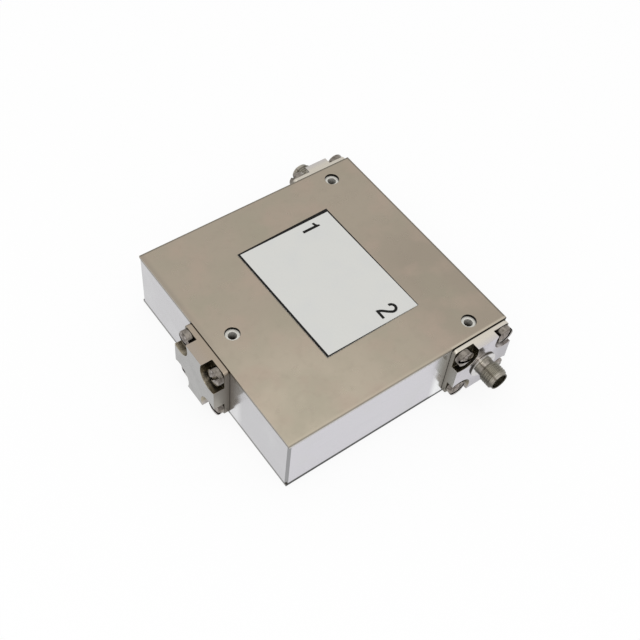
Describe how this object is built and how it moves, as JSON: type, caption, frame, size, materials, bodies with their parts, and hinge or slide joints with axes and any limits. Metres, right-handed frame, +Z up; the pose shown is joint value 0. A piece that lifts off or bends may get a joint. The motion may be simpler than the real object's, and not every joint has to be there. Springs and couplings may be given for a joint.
{
  "type": "coaxial radio frequency isolator",
  "caption": "Square metal isolator housing with coaxial ports on opposite sides, a built-in termination on a third, a plain label plate and tapped mounting holes.",
  "frame": {"origin": "middle of the housing's underside, on the base cover's face", "axes": "+Z up out of the label side; +Y from port 2 to port 1; +X away from the termination"},
  "size_m": [0.0751, 0.0906, 0.02],
  "materials": {
    "body_alloy": "satin, bright",
    "cover_steel": "nickel plated, satin, faintly blotched",
    "label": "satin foil with a thin black border",
    "block_alloy": "machined, bright",
    "connector_steel": "turned, passivated",
    "screw_steel": "satin with darker recesses",
    "insulator": "waxy white",
    "gilt_brass": "thinly gold plated",
    "magnet": "ground, dark grey",
    "ferrite": "ground, near black",
    "pole_steel": "ground",
    "ceramic": "ground, cream",
    "resistor": "film coated, dark green"
  },
  "bodies": {
    "root": {"body": "body_alloy", "top_cover": "cover_steel", "bottom_cover": "cover_steel", "label_plate": "label", "upper_magnet": "magnet", "lower_magnet": "magnet", "upper_pole_disc": "pole_steel", "lower_pole_disc": "pole_steel", "upper_ferrite": "ferrite", "lower_ferrite": "ferrite", "upper_ceramic_ring": "ceramic", "lower_ceramic_ring": "ceramic", "centre_conductor": "gilt_brass", "port_1_block": "block_alloy", "port_1_shell": "connector_steel", "port_1_insulator": "insulator", "port_1_contact": "gilt_brass", "port_1_screws": "screw_steel", "port_2_block": "block_alloy", "port_2_shell": "connector_steel", "port_2_insulator": "insulator", "port_2_contact": "gilt_brass", "port_2_screws": "screw_steel", "termination_block": "block_alloy", "termination_screws": "screw_steel", "load_resistor": "resistor", "load_cap": "gilt_brass", "load_ground_cup": "gilt_brass"}
  },
  "joints": []
}
